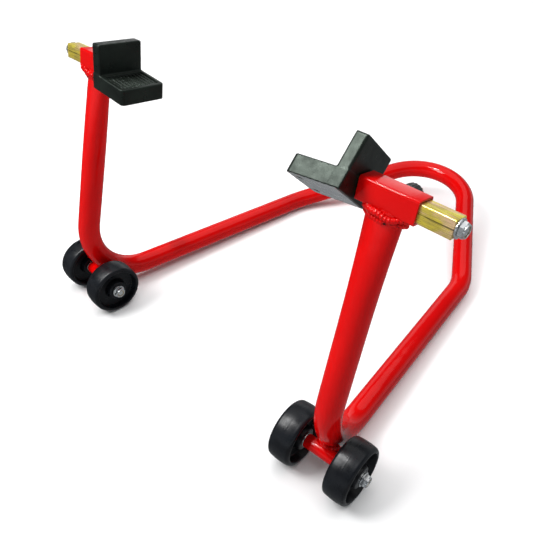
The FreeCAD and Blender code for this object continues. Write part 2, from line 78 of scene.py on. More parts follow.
THREAD_PITCH = 1.25
HEXAGON_FLATS = 13.0
NUT_HEIGHT = 6.0
HEAD_HEIGHT = 5.3
AXLE_X = 208.2
AXLE_TOE = radians(4.0)
AXLE_TUBE_RADIUS = 8.0
AXLE_TUBE_LENGTH = 42.2
AXLE_WASHER = 1.5
AXLE_WASHER_RADIUS = 8.5
AXLE_THREAD = 5.0
WHEEL_OFFSET = 35.6
WHEEL_RADIUS = 35.0
WHEEL_WIDTH = 28.0
WHEEL_PLAY = 0.5
BUSH_LENGTH = 28.6
BUSH_RADIUS = 8.0
SWIVEL_WASHER = 1.6
SWIVEL_WASHER_RADIUS = 8.8
SWIVEL_THREAD_START = 268.0
SWIVEL_BOLT_END = 273.3
BOSS_HEIGHT = 3.0
BOSS_RADIUS = 7.0
KNOB_FLUTES = 18
KNOB_FLUTE_DEPTH = 0.45
X = Vector((1, 0, 0))

# Welds: puddles round each strand, strands as (depth below the sleeve, further depth in
# front, distance out, radius), and pits as (angle round the upright, depth, radius)
SLEEVE_PUDDLES = 40
SLEEVE_STRANDS = ((0.9, 0.3, 1.6, 2.9), (3.6, 2.6, 0.0, 2.7))
SLEEVE_PITS = (
    (-2.55, 4.2, 1.2),
    (-2.30, 4.0, 0.8),
    (-1.22, 6.9, 1.3),
    (-0.95, 5.9, 1.2),
    (-0.62, 6.6, 1.0),
)
PIT_DISTANCE_OUT = 3.2
SLEEVE_SEEDS = {"right": 3.7, "left": 11.2}
CORNER_ROWS = 6
CORNER_REACH = 8.2
CORNER_STEP = 1.7
CORNER_PUDDLE = 3.0
AXLE_PUDDLES = 26
AXLE_PUDDLE = 2.9
AXLE_WELD_HALF_LENGTH = 11.0
AXLE_WELD_HALF_WIDTH = 6.4
AXLE_SEED = 5.1
PUDDLE_SPREAD = 0.75
PUDDLE_SPREAD_OUTWARD = 0.6
PUDDLE_MEAN_SIZE = 0.90
PUDDLE_SIZE_CHANGE = 0.34
NOISE_SEED = 4
noise.seed_set(NOISE_SEED)
BEAD_STEP = 0.45

# Linear colours, as (light, dark) where a material has two
PAINT = ((0.55, 0.0018, 0.0016), (0.46, 0.0012, 0.0015))
PAINT_DUST = (0.33, 0.002, 0.003)
PIT_SHADOW = (0.012, 0.002, 0.002)
CLEAR_ZINC = ((0.84, 0.85, 0.84), (0.62, 0.64, 0.66))
GOLD_AND_OLIVE = ((0.82, 0.66, 0.08), (0.66, 0.52, 0.10))
PINK = (0.86, 0.56, 0.40)
LEMON = (0.92, 0.84, 0.10)
DRAWING_MARK = (0.22, 0.16, 0.05)
SEAM_SHADOW = (0.05, 0.035, 0.01)
RUBBER = ((0.007, 0.010, 0.008), (0.003, 0.004, 0.0035))
RUBBER_SHEEN = (0.84, 1.0, 0.87)
WHEEL = ((0.006, 0.0075, 0.010), (0.0025, 0.003, 0.0045))
KNOB = ((0.012, 0.012, 0.012), (0.006, 0.006, 0.006))
NYLON = ((0.30, 0.24, 0.15), (0.20, 0.15, 0.09))
WHITE = (1, 1, 1)
FLOOR = ((0.93, 0.93, 0.93), (0.90, 0.90, 0.905))

# Stage, in metres. Lights are (name, position, aim, size, watts)
FLOOR_HALF = 6.0
WORLD_COLOUR = (0.93, 0.97, 1, 1)
LIGHTS = (
    ("overhead", (-0.4, 0.7, 3.0), (-0.4, 0.7, 0), (4.4, 4.4), 62),
    ("softbox", (-0.82, -1.20, 1.64), (0.15, -0.22, 0.34), (0.8, 0.8), 32),
    ("panel", (-1.75, 2.0, 0.75), (0, 0, 0.15), (2.2, 1.2), 5),
)
FLOOR_WASH = ("wash", (-0.4, 0.7, 2.9), (-0.4, 0.7, 0), (4.4, 4.4), 74)
OBJECT_LAMP = ("lamp", (-0.67, -0.69, 2.18), (0.2, -0.22, 0.3), (0.5, 0.08), 36)
CAMERA_X = 0.415
CAMERA_BEFORE_AXLES = 0.3167
CAMERA_HEIGHT = 0.5831
CAMERA_YAW = radians(43.1)
CAMERA_PITCH = radians(38.72)
CAMERA_ROLL = radians(1.57)
FOCAL_LENGTH = 40.23
SENSOR_WIDTH = 36


def axle_middle(side):
    """The middle of a side's axle, half way between its two wheels."""
    places = [Vector(JOINTS[f"{side}_{place}_wheel_roll"]["pos_m"]) for place in ("outer", "inner")]
    return (places[0] + places[1]) / 2


AXLE_Y = axle_middle("right").y / MM


# ---------------------------------------------------------------- mesh tools

def link(name, vertices, faces, material, sharp=35):
    """A mesh object from vertices in metres, smooth except across sharp edges."""
    mesh = bpy.data.meshes.new(name)
    mesh.from_pydata(vertices, [], faces)
    tidy = bmesh.new()
    tidy.from_mesh(mesh)
    bmesh.ops.remove_doubles(tidy, verts=tidy.verts, dist=1e-6)
    bmesh.ops.recalc_face_normals(tidy, faces=tidy.faces)
    tidy.to_mesh(mesh)
    tidy.free()
    mesh.materials.append(material)
    mesh.shade_smooth()
    mesh.set_sharp_from_angle(angle=radians(sharp))
    obj = bpy.data.objects.new(name, mesh)
    bpy.context.scene.collection.objects.link(obj)
    return obj


def skin(rings, wrap=False):
    """Vertices and faces over rings of equally many points, with end caps unless it wraps."""
    count = len(rings[0])
    vertices = [point for ring in rings for point in ring]
    faces = []
    for span in range(len(rings) if wrap else len(rings) - 1):
        here = span * count
        there = (span + 1) % len(rings) * count
        for index in range(count):
            after = (index + 1) % count
            faces.append((here + index, here + after, there + after, there + index))
    if not wrap:
        faces.append(tuple(reversed(range(count))))
        faces.append(tuple(range(len(vertices) - count, len(vertices))))
    return vertices, faces


def joined(shapes):
    """Several skins as one."""
    vertices, faces = [], []
    for some_vertices, some_faces in shapes:
        start = len(vertices)
        vertices += some_vertices
        faces += [tuple(start + index for index in face) for face in some_faces]
    return vertices, faces


def softened(points, radius, steps=4, closed=True):
    """A polyline with its corners rounded. Its ends stay as they are unless it is closed."""
    result = []
    count = len(points)
    for index, point in enumerate(points):
        corner = Vector(point)
        if not closed and index in (0, count - 1):
            result.append(corner)
            continue
        before = Vector(points[index - 1])
        after = Vector(points[(index + 1) % count])
        reach = min(radius, (before - corner).length * 0.45, (after - corner).length * 0.45)
        start = corner + (before - corner).normalized() * reach
        end = corner + (after - corner).normalized() * reach
        for step in range(steps + 1):
            share = step / steps
            result.append(start.lerp(corner, share).lerp(corner.lerp(end, share), share))
    return result


def circle_ring(x, radius, count=72):
    """Points on a circle about the X axis."""
    turns = [2 * pi * index / count for index in range(count)]
    return [Vector((x, radius * cos(turn), radius * sin(turn))) for turn in turns]


def lathe(profile, wrap=True, count=72):
    """A surface of revolution about the X axis from (x, radius) points."""
    return skin([circle_ring(*point, count) for point in profile], wrap)


def square_ring(x, half, corner, steps=6):
    """Points on a square with rounded corners about the X axis."""
    ring = []
    inset = half - corner
    for quarter in range(4):
        for step in range(steps + 1):
            turn = pi / 2 * (quarter + step / steps)
            centre_turn = pi / 4 + pi / 2 * quarter
            centre_y = inset * sqrt(2) * cos(centre_turn)
            centre_z = inset * sqrt(2) * sin(centre_turn)
            ring.append(Vector((x, centre_y + corner * cos(turn), centre_z + corner * sin(turn))))
    return ring


def square_bar(profile):
    """A closed skin of squares from (x, half size, corner radius) points."""
    return skin([square_ring(*point) for point in profile], wrap=True)


def hexagon_ring(x, flats, limit, count=72):
    """Points on a hexagon about the X axis, no further out than the limit."""
    ring = []
    for index in range(count):
        turn = 2 * pi * index / count
        radius = min(flats / 2 / cos(turn % (pi / 3) - pi / 6), limit)
        ring.append(Vector((x, radius * cos(turn), radius * sin(turn))))
    return ring


def hexagon_rings(flats, start, end):
    """Rings of a hexagon with its corners turned off at both ends."""
    corner = flats / 2 / cos(pi / 6)
    turned = flats / 2 * 0.97
    depth = (corner - flats / 2) * 0.6
    steps = 5
    shares = [step / steps for step in range(steps + 1)]
    limits = [turned + (corner - turned) * share for share in shares]
    first = [(start + depth * share, limit) for share, limit in zip(shares, limits)]
    last = [(end - depth * share, limit) for share, limit in zip(shares, limits)]
    return [hexagon_ring(x, flats, limit) for x, limit in first + last[::-1]]


def thread(radius, pitch, start, end, count=72):
    """Rings of a screw thread with a chamfered end."""
    depth = pitch * 0.5
    per_turn = 10
    steps = max(4, int((end - start) / pitch * per_turn))
    rings = []
    for step in range(steps + 1):
        x = start + (end - start) * step / steps
        ring = []
        for index in range(count):
            turn = 2 * pi * index / count
            phase = (x / pitch - turn / (2 * pi)) % 1
            groove = depth * (1 - abs(2 * phase - 1))
            limit = min(radius, radius - depth + (end - x) * 1.2)
            reach = min(radius - groove, limit)
            ring.append(Vector((x, reach * cos(turn), reach * sin(turn))))
        rings.append(ring)
    return rings


def smooth_min(first, second, blend):
    """The lower of two distances, rounded where they cross."""
    share = np.clip(0.5 + 0.5 * (second - first) / blend, 0, 1)
    return second * (1 - share) + first * share - blend * share * (1 - share)


def smooth_max(first, second, blend):
    """The higher of two distances, rounded where they cross."""
    return -smooth_min(-first, -second, blend)


def rectangle(u, v, low, high, radius):
    """Distance from a rectangle with rounded corners in the (u, v) plane."""
    across = np.abs(u - (low[0] + high[0]) / 2) - (high[0] - low[0]) / 2 + radius
    up = np.abs(v - (low[1] + high[1]) / 2) - (high[1] - low[1]) / 2 + radius
    outside = np.hypot(np.maximum(across, 0), np.maximum(up, 0))
    return outside + np.minimum(np.maximum(across, up), 0) - radius


def gradient(field, points, reach=0.05):
    """The direction and rate at which a distance field rises."""
    slopes = []
    for axis in range(3):
        offset = np.zeros(3)
        offset[axis] = reach
        slopes.append((field(points + offset) - field(points - offset)) / (2 * reach))
    return np.stack(slopes, axis=1)


def surface(field, low, high, step):
    """A closed mesh over a distance field's zero: one vertex in each cell that it crosses."""
    axes = [np.arange(a - 2 * step, b + 3 * step, step) for a, b in zip(low, high)]
    grid = np.stack(np.meshgrid(*axes, indexing="ij"), axis=-1)
    inside = (field(grid.reshape(-1, 3)) < 0).reshape(grid.shape[:3])
    size = [length - 1 for length in inside.shape]
    filled = np.zeros(size, int)
    for i, j, k in np.ndindex(2, 2, 2):
        filled += inside[i:i + size[0], j:j + size[1], k:k + size[2]]
    crossed = (filled > 0) & (filled < 8)
    number = np.full(size, -1)
    number[crossed] = np.arange(crossed.sum())
    points = grid[:-1, :-1, :-1][crossed] + step / 2
    for _ in range(5):
        slope = gradient(field, points)
        steepness = np.maximum((slope**2).sum(axis=1), 0.25)
        points = points - slope * np.clip(field(points) / steepness, -step, step)[:, None]
    faces = []
    for axis in range(3):
        second, third = (axis + 1) % 3, (axis + 2) % 3
        near = np.moveaxis(inside, axis, 0)[:-1]
        far = np.moveaxis(inside, axis, 0)[1:]
        changed = np.moveaxis(near != far, 0, axis)
        for spot in np.argwhere(changed):
            cells = []
            for back_second, back_third in ((1, 1), (0, 1), (0, 0), (1, 0)):
                cell = spot.copy()
                cell[second] -= back_second
                cell[third] -= back_third
                cells.append(int(number[tuple(cell)]))
            faces.append(tuple(cells if inside[tuple(spot)] else reversed(cells)))
    return [Vector(point) for point in points], faces


# ---------------------------------------------------------------- places

WORLD = Matrix.Scale(MM, 4) @ Matrix.Translation((0, AXLE_Y, 0))
FLIP = {"right": Matrix.Identity(4), "left": Matrix.Diagonal((-1, 1, 1, 1))}


def frame_place(side):
    """From the right-hand frame in millimetres to a side in metres."""
    return FLIP[side] @ WORLD


def sleeve_place(side):
    """From the middle of the sleeve, with X along it, to a side in metres."""
    tilt = Matrix.Rotation(-SLEEVE_TILT, 4, "X")
    return frame_place(side) @ Matrix.Translation(SLEEVE_CENTRE) @ tilt


def pad_angle(side):
    """The pad's angle at rest: its swivel's range is centred on level."""
    low, high = JOINTS[f"{side}_pad_swivel"]["range_deg"]
    return -radians(low + high) / 2


def pad_place(side):
    """From the swivel bolt's line, with the pad level, to a side in metres."""
    pivot = Matrix.Translation((0, SLEEVE_CENTRE.y, SLEEVE_CENTRE.z))
    return frame_place(side) @ pivot @ Matrix.Rotation(pad_angle(side), 4, "X")


def axle_place(side):
    """From the middle of an axle, with X along it, to the frame in metres."""
    turn = Matrix.Rotation(SIDES[side] * AXLE_TOE, 4, "Z")
    return Matrix.Translation(axle_middle(side)) @ turn @ Matrix.Scale(MM, 4)


# ---------------------------------------------------------------- materials

def node_material(name):
    """A new material with its node tree and its Principled shader."""
    material = bpy.data.materials.new(name)
    material.use_nodes = True
    return material, material.node_tree, material.node_tree.nodes["Principled BSDF"]


def mapped(tree, stretch=(1, 1, 1)):
    """Object coordinates, stretched along each axis."""
    coordinates = tree.nodes.new("ShaderNodeTexCoord")
    mapping = tree.nodes.new("ShaderNodeMapping")
    mapping.inputs["Scale"].default_value = stretch
    tree.links.new(coordinates.outputs["Object"], mapping.inputs["Vector"])
    return mapping.outputs["Vector"]


def noise_value(tree, scale, detail=4, stretch=(1, 1, 1), distortion=0.0):
    """Noise over the object's own coordinates, with features of 1 / scale metres."""
    texture = tree.nodes.new("ShaderNodeTexNoise")
    texture.inputs["Scale"].default_value = scale
    texture.inputs["Detail"].default_value = detail
    texture.inputs["Distortion"].default_value = distortion
    tree.links.new(mapped(tree, stretch), texture.inputs["Vector"])
    return texture.outputs["Fac"]


def remapped(tree, value, low, high, to_low, to_high):
    """A value between low and high, brought to another range and held in it."""
    node = tree.nodes.new("ShaderNodeMapRange")
    for index, number in enumerate((low, high, to_low, to_high), start=1):
        node.inputs[index].default_value = number
    tree.links.new(value, node.inputs["Value"])
    return node.outputs["Result"]


def mixed(tree, share, first, second):
    """A colour between two colours. Either may be a colour or another node's output."""
    node = tree.nodes.new("ShaderNodeMix")
    node.data_type = "RGBA"
    tree.links.new(share, node.inputs["Factor"])
    for socket, colour in (("A", first), ("B", second)):
        target = [entry for entry in node.inputs if entry.name == socket and entry.type == "RGBA"][0]
        if isinstance(colour, tuple):
            target.default_value = (*colour, 1)
        else:
            tree.links.new(colour, target)
    return [entry for entry in node.outputs if entry.type == "RGBA"][0]


def bumped(tree, shader, layers):
    """Bump from (height, depth in metres) layers, one over the other."""
    normal = None
    for height, depth in layers:
        bump = tree.nodes.new("ShaderNodeBump")
        bump.inputs["Strength"].default_value = 1.0
        bump.inputs["Distance"].default_value = depth
        tree.links.new(height, bump.inputs["Height"])
        if normal is not None:
            tree.links.new(normal, bump.inputs["Normal"])
        normal = bump.outputs["Normal"]
    tree.links.new(normal, shader.inputs["Normal"])


def multiplied(tree, first, second):
    """The product of two values."""
    node = tree.nodes.new("ShaderNodeMath")
    node.operation = "MULTIPLY"
    tree.links.new(first, node.inputs[0])
    tree.links.new(second, node.inputs[1])
    return node.outputs["Value"]


def patched(tree, texture, start, full, strength, colour, patch):
    """A colour that gives way to another where a texture rises from start to full."""
    return mixed(tree, remapped(tree, texture, start, full, 0, strength), colour, patch)


def roughened(tree, shader, texture, smooth, rough):
    """Roughness between two values, by a texture."""
    value = remapped(tree, texture, 0.3, 0.7, smooth, rough)
    tree.links.new(value, shader.inputs["Roughness"])


def red_paint():
    """Gloss enamel with slight unevenness in colour and flow, and dust nibs under it."""
    material, tree, shader = node_material("red_paint")
    colour = patched(tree, noise_value(tree, 9, 3), 0.35, 0.65, 1, *PAINT)
    colour = patched(tree, noise_value(tree, 700, 2), 0.70, 0.76, 0.5, colour, PAINT_DUST)
    pit = tree.nodes.new("ShaderNodeAttribute")
    pit.attribute_name = "pit"
    colour = mixed(tree, pit.outputs["Fac"], colour, PIT_SHADOW)
    tree.links.new(colour, shader.inputs["Base Color"])
    roughened(tree, shader, noise_value(tree, 40, 4), 0.06, 0.12)
    shader.inputs["Specular IOR Level"].default_value = 0.24
    nibs = (noise_value(tree, 420, 2), 0.00005)
    flow = (noise_value(tree, 35, 2), 0.0004)
    bumped(tree, shader, [nibs, flow])
    return material


def clear_zinc():
    """Clear zinc plate with drawing marks along X and blotches of tone."""
    material, tree, shader = node_material("clear_zinc")
    blotch = noise_value(tree, 70, 4, distortion=0.6)
    colour = patched(tree, blotch, 0.35, 0.68, 1, *CLEAR_ZINC)
    tree.links.new(colour, shader.inputs["Base Color"])
    streak = noise_value(tree, 900, 5, stretch=(0.06, 1, 1))
    roughened(tree, shader, streak, 0.14, 0.30)
    shader.inputs["Metallic"].default_value = 1.0
    bumped(tree, shader, [(streak, 0.00003)])
    return material


def seam(tree):
    """A thin broken line along the middle of the adjuster bars: 1 on it and 0 off it."""
    turn = Matrix.Rotation(SLEEVE_TILT, 3, "X")
    mapping = tree.nodes.new("ShaderNodeMapping")
    mapping.inputs["Rotation"].default_value = (SLEEVE_TILT, 0, 0)
    mapping.inputs["Location"].default_value = -(turn @ (WORLD @ SLEEVE_CENTRE))
    coordinates = tree.nodes.new("ShaderNodeTexCoord")
    tree.links.new(coordinates.outputs["Object"], mapping.inputs["Vector"])
    split = tree.nodes.new("ShaderNodeSeparateXYZ")
    tree.links.new(mapping.outputs["Vector"], split.inputs["Vector"])
    above = remapped(tree, split.outputs["Z"], 0.0006, 0.0011, 1, 0)
    below = remapped(tree, split.outputs["Z"], -0.0002, 0.0004, 0, 1)
    broken = remapped(tree, noise_value(tree, 90, 3, stretch=(1, 4, 4)), 0.36, 0.48, 0.15, 1)
    return multiplied(tree, multiplied(tree, above, below), broken)


def yellow_zinc():
    """Yellow passivated zinc: gold to olive, with pink clouds, drawing marks and a seam."""
    material, tree, shader = node_material("yellow_zinc")
    blotch = noise_value(tree, 110, 4, stretch=(0.6, 1, 1))
    colour = patched(tree, blotch, 0.40, 0.60, 1, *GOLD_AND_OLIVE)
    cloud = noise_value(tree, 75, 4, stretch=(0.5, 1.3, 1.3))
    colour = patched(tree, cloud, 0.50, 0.64, 0.8, colour, PINK)
    bright = noise_value(tree, 140, 3, stretch=(0.35, 1, 1))
    colour = patched(tree, bright, 0.57, 0.68, 0.7, colour, LEMON)
    streak = noise_value(tree, 900, 4, stretch=(0.035, 1, 1))
    colour = patched(tree, streak, 0.52, 0.68, 0.7, colour, DRAWING_MARK)
    colour = mixed(tree, seam(tree), colour, SEAM_SHADOW)
    tree.links.new(colour, shader.inputs["Base Color"])
    roughened(tree, shader, streak, 0.22, 0.40)
    shader.inputs["Metallic"].default_value = 0.7
    bumped(tree, shader, [(streak, 0.00006)])
    return material


def moulded(name, colours, smooth, rough, grain_depth, gloss=0.5, tint=WHITE):
    """Moulded rubber or plastic: mottled, faintly scuffed and grained."""
    material, tree, shader = node_material(name)
    light, dark = colours
    mottle = noise_value(tree, 45, 5, distortion=0.4)
    colour = patched(tree, mottle, 0.35, 0.65, 1, dark, light)
    dust = tuple(2 * part + 0.008 for part in light)
    colour = patched(tree, noise_value(tree, 900, 3), 0.62, 0.75, 0.25, colour, dust)
    tree.links.new(colour, shader.inputs["Base Color"])
    roughened(tree, shader, noise_value(tree, 120, 4), smooth, rough)
    shader.inputs["Specular IOR Level"].default_value = gloss
    shader.inputs["Specular Tint"].default_value = (*tint, 1)
    grain = (noise_value(tree, 1100, 3), grain_depth)
    waves = (noise_value(tree, 60, 2), 0.0003)
    bumped(tree, shader, [grain, waves])
    return material


LOOKS = {
    "red_paint": red_paint(),
    "yellow_zinc": yellow_zinc(),
    "clear_zinc": clear_zinc(),
    "black_rubber": moulded("black_rubber", RUBBER, 0.26, 0.44, 0.00008, 0.3, RUBBER_SHEEN),
    "wheel_plastic": moulded("wheel_plastic", WHEEL, 0.24, 0.40, 0.00004, 0.24),
    "knob_plastic": moulded("knob_plastic", KNOB, 0.30, 0.45, 0.0001),
    "nylon": moulded("nylon", NYLON, 0.35, 0.50, 0.00005),
}


def add(name, shape, place, slot, body, *nodes, sharp=35):
    """Links a piece in its place, on its body, standing for the CAD nodes."""
    vertices, faces = shape
    obj = link(name, [place @ vertex for vertex in vertices], faces, LOOKS[slot], sharp)
    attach(obj, body)
    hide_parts(*nodes)
    return obj


# ---------------------------------------------------------------- frame

UPRIGHT = Vector(
    (-tan(UPRIGHT_INWARD) * cos(UPRIGHT_LEAN), sin(UPRIGHT_LEAN), cos(UPRIGHT_LEAN))
).normalized()
SLEEVE_UP = Vector((0, sin(SLEEVE_TILT), cos(SLEEVE_TILT)))


def upright_top():
    """Where the upright's centreline meets the underside of the sleeve."""
    underside = SLEEVE_CENTRE - SLEEVE_UP * (SLEEVE_SIZE / 2)
    return FOOT + UPRIGHT * ((underside - FOOT).dot(SLEEVE_UP) / UPRIGHT.dot(SLEEVE_UP))


def run_points(start, end, spacing):
    """Evenly spaced points from start up to but not including end."""
    count = max(1, round((end - start).length / spacing))
    return [start.lerp(end, index / count) for index in range(count)]


def bend_points(before, corner, after, radius, step=radians(2.5)):
    """Points on the arc that rounds a corner, from its first end to its last."""
    back = (before - corner).normalized()
    ahead = (after - corner).normalized()
    half = back.angle(ahead) / 2
    centre = corner + (back + ahead).normalized() * (radius / sin(half))
    first = corner + back * (radius / tan(half)) - centre
    axis = first.cross(corner + ahead * (radius / tan(half)) - centre).normalized()
    turn = pi - 2 * half
    count = max(2, round(turn / step))
    turns = [Matrix.Rotation(turn * index / count, 3, axis) for index in range(count + 1)]
    return [centre + rotation @ first for rotation in turns]


def half_centreline():
    """The frame tube's centreline, from the top of the right upright to the handle's tip."""
    reach = KNEE.x / tan(HANDLE_TURN_IN)
    apex = Vector((0, KNEE.y + reach * cos(HANDLE_RISE), KNEE.z + reach * sin(HANDLE_RISE)))
    inside_sleeve = 1.0
    top = upright_top() + UPRIGHT * inside_sleeve
    knee_arc = bend_points(FOOT, KNEE, apex, SIDE_BEND)
    foot_arc = bend_points(top, FOOT, KNEE, SIDE_BEND)
    tip_arc = bend_points(KNEE, apex, Vector((-KNEE.x, KNEE.y, KNEE.z)), HANDLE_BEND)
    points = run_points(top, foot_arc[0], 5) + foot_arc
    points += run_points(foot_arc[-1], knee_arc[0], 6)[1:] + knee_arc
    points += run_points(knee_arc[-1], tip_arc[0], 6)[1:]
    points += [point for point in tip_arc if point.x > 0.5]
    return points + [Vector((0, *tip_arc[len(tip_arc) // 2].yz))]


def oval_at(point):
    """Half width and half depth of the tube's section: flattened near the sleeve."""
    below = (upright_top() - point).dot(UPRIGHT)
    on_upright = point.z > FOOT.z + SIDE_BEND + TUBE_RADIUS
    share = max(0.0, 1 - max(below, 0) / TAPER_LENGTH) if on_upright else 0.0
    return TUBE_RADIUS + TAPER_WIDENING * share**2, TUBE_RADIUS - TAPER_DEPTH_LOSS * share**2


def frame_tube():
    """The one bent tube: two uprights, two rails and the handle."""
    count = 64
    points = half_centreline()
    side = Vector((1, 0, 0))
    rings = []
    for index, centre in enumerate(points):
        before = points[max(index - 1, 0)]
        after = points[min(index + 1, len(points) - 1)]
        along = (after - before).normalized()
        if index == len(points) - 1:
            along = Vector((-1, 0, 0))
        side = (side - along * side.dot(along)).normalized()
        deep = along.cross(side)
        wide, thick = oval_at(centre)
        turns = [2 * pi * step / count for step in range(count)]
        rings.append([centre + side * wide * cos(turn) + deep * thick * sin(turn) for turn in turns])
    other_half = [
        [Vector((-point.x, point.y, point.z)) for point in ring] for ring in reversed(rings[:-1])
    ]
    runs = ("upright", "lower_bend", "rail", "knee_bend", "handle_arm")
    nodes = [f"{side_name}_{run}" for side_name in SIDES for run in runs]
    shape = skin(rings + other_half)
    add("frame_tube", shape, WORLD, "red_paint", "frame", "handle_end", *nodes)


def sleeve(side):
    """Square tube with its cut ends just softened by the paint."""
    half = SLEEVE_LENGTH / 2
    outer = SLEEVE_SIZE / 2
    inner = outer - SLEEVE_WALL
    profile = [(-half, outer, SLEEVE_CORNER), (half, outer, SLEEVE_CORNER)]
    profile += [(half, inner, SLEEVE_INNER_CORNER), (-half, inner, SLEEVE_INNER_CORNER)]
    shape = square_bar(softened(profile, 0.45))
    add(f"{side}_square_sleeve", shape, sleeve_place(side), "red_paint", "frame", f"{side}_sleeve")


def set_pits(obj, pits, place):
    """Marks the vertices near each pit, for the paint to darken."""
    spots = np.array([place.inverted() @ vertex.co for vertex in obj.data.vertices])
    depth = np.zeros(len(spots))
    for centre, radius in pits:
        away = np.linalg.norm(spots - np.array(centre), axis=1)
        depth = np.maximum(depth, np.clip(2.3 - 1.3 * away / radius, 0, 1))
    attribute = obj.data.attributes.new("pit", "FLOAT", "POINT")
    attribute.data.foreach_set("value", depth)


def puddles_along(path, outward, radius, seed):
    """Overlapping puddles on a closed path, as (centre, direction, radius), laid unevenly."""
    puddles = []
    for index, centre in enumerate(path):
        along = (path[(index + 1) % len(path)] - path[index - 1]).normalized()
        wander = noise.noise_vector(Vector((index * 0.27, seed, 0)))
        spot = centre + outward[index] * wander.x * radius * PUDDLE_SPREAD_OUTWARD
        spot += wander * radius * PUDDLE_SPREAD
        ripple = 0.05 * (index % 2)
        size = radius * (PUDDLE_MEAN_SIZE + PUDDLE_SIZE_CHANGE * wander.y + ripple)
        puddles.append((np.array(spot), np.array(along), size))
    return puddles


def bead(puddles, step, pits=()):
    """A hand-laid weld bead: puddles that run into each other, with a few pits."""
    def field(points):
        distance = None
        for centre, along, size in puddles:
            away = points - centre
            lengthwise = away @ along
            puddle = np.sqrt((away**2).sum(axis=1) + 0.5 * lengthwise**2) - size
            distance = puddle if distance is None else smooth_min(distance, puddle, 0.5)
        for centre, size in pits:
            hole = np.linalg.norm(points - np.array(centre), axis=1) - size
            distance = smooth_max(distance, -hole, 0.3)
        return distance

    spots = np.array([puddle[0] for puddle in puddles])
    reach = 1.7 * max(puddle[2] for puddle in puddles)
    return surface(field, spots.min(axis=0) - reach, spots.max(axis=0) + reach, step)


def sleeve_spot(turn, out, depth):
    """A point round the upright's top, some way out from it and below the sleeve."""
    across = Vector((0, cos(SLEEVE_TILT), -sin(SLEEVE_TILT)))
    wide = TUBE_RADIUS + TAPER_WIDENING + out
    thick = TUBE_RADIUS - TAPER_DEPTH_LOSS + out
    return upright_top() + X * wide * cos(turn) + across * thick * sin(turn) - SLEEVE_UP * depth


def corner_fill(seed):
    """Puddles that fill the corner between the upright and the sleeve's outer end."""
    puddles = []
    for row, share, turn in product(range(CORNER_ROWS), (0.0, 0.5, 1.0), (-0.45, -0.15, 0.15, 0.45)):
        out = (CORNER_REACH - CORNER_STEP * row) * share
        spot = sleeve_spot(turn, out, CORNER_STEP * row - 0.4)
        wander = noise.noise_vector(Vector((row * 0.7, turn, seed)))
        puddles.append((np.array(spot + wander * 0.5), np.array(X), CORNER_PUDDLE))
    return puddles


def sleeve_bead(side):
    """The two strands round the top of the upright. On the left they fill the outer corner too."""
    turns = [2 * pi * index / SLEEVE_PUDDLES for index in range(SLEEVE_PUDDLES)]
    outward = [(sleeve_spot(turn, 1, 0) - upright_top()).normalized() for turn in turns]
    seed = SLEEVE_SEEDS[side]
    puddles = []
    for depth, front_depth, out, radius in SLEEVE_STRANDS:
        depths = [depth + front_depth * max(0.0, -sin(turn)) for turn in turns]
        path = [sleeve_spot(turn, out, below) for turn, below in zip(turns, depths)]
        puddles += puddles_along(path, outward, radius, seed + depth)
    if side == "left":
        puddles += corner_fill(seed)
    pits = [(sleeve_spot(turn, PIT_DISTANCE_OUT, depth), size) for turn, depth, size in SLEEVE_PITS]
    place = frame_place(side)
    shape = bead(puddles, BEAD_STEP, pits)
    node = f"{side}_sleeve_weld"
    obj = add(f"{side}_sleeve_bead", shape, place, "red_paint", "frame", node, sharp=180)
    set_pits(obj, pits, place)


def axle_bead(side):
    """The weld between the axle tube and the bend, in the saddle where they meet."""
    axle = Vector((AXLE_X, 0, axle_middle(side).z / MM))
    arc = bend_points(upright_top(), FOOT, KNEE, SIDE_BEND)
    bend = min(arc, key=lambda point: (point - axle).length)
    towards = (bend - axle).normalized()
    along = Vector((cos(AXLE_TOE), sin(AXLE_TOE), 0))
    along = (along - towards * along.dot(towards)).normalized()
    across = towards.cross(along)
    distance = (bend - axle).length
    path, outward = [], []
    for index in range(AXLE_PUDDLES):
        turn = 2 * pi * index / AXLE_PUDDLES
        x = AXLE_WELD_HALF_LENGTH * cos(turn)
        y = AXLE_WELD_HALF_WIDTH * sin(turn)
        near = sqrt(AXLE_TUBE_RADIUS**2 - y**2)
        far = distance - sqrt(TUBE_RADIUS**2 - x**2)
        path.append(axle + along * x + across * y + towards * (near + far) / 2)
        outward.append(along * cos(turn) + across * sin(turn))
    shape = bead(puddles_along(path, outward, AXLE_PUDDLE, AXLE_SEED), BEAD_STEP)
    place = frame_place(side)
    add(f"{side}_axle_bead", shape, place, "red_paint", "frame", f"{side}_axle_weld", sharp=180)


def axle_sleeve(side):
    """The short tube that the axle bolt runs through."""
    half = AXLE_TUBE_LENGTH / 2
    outer = AXLE_TUBE_RADIUS
    inner = BOLT_RADIUS + 0.1
    shape = lathe(softened([(-half, outer), (half, outer), (half, inner), (-half, inner)], 0.6))
    place = axle_place(side)
    add(f"{side}_axle_sleeve", shape, place, "red_paint", "frame", f"{side}_axle_tube")


# ---------------------------------------------------------------- fasteners

def ring_shape(start, thickness, outer, inner, edge=0.35):
    """A flat washer with rolled edges."""
    end = start + thickness
    profile = [(start, outer), (end, outer), (end, inner), (start, inner)]
    return lathe(softened(profile, edge, 3))


def moved(shape, distance):
    """A shape moved along X."""
    vertices, faces = shape
    return [vertex + Vector((distance, 0, 0)) for vertex in vertices], faces


def turned_round(shape):
    """A shape turned to face the other way along X."""
    vertices, faces = shape
    return [Vector((-vertex.x, -vertex.y, vertex.z)) for vertex in vertices], faces


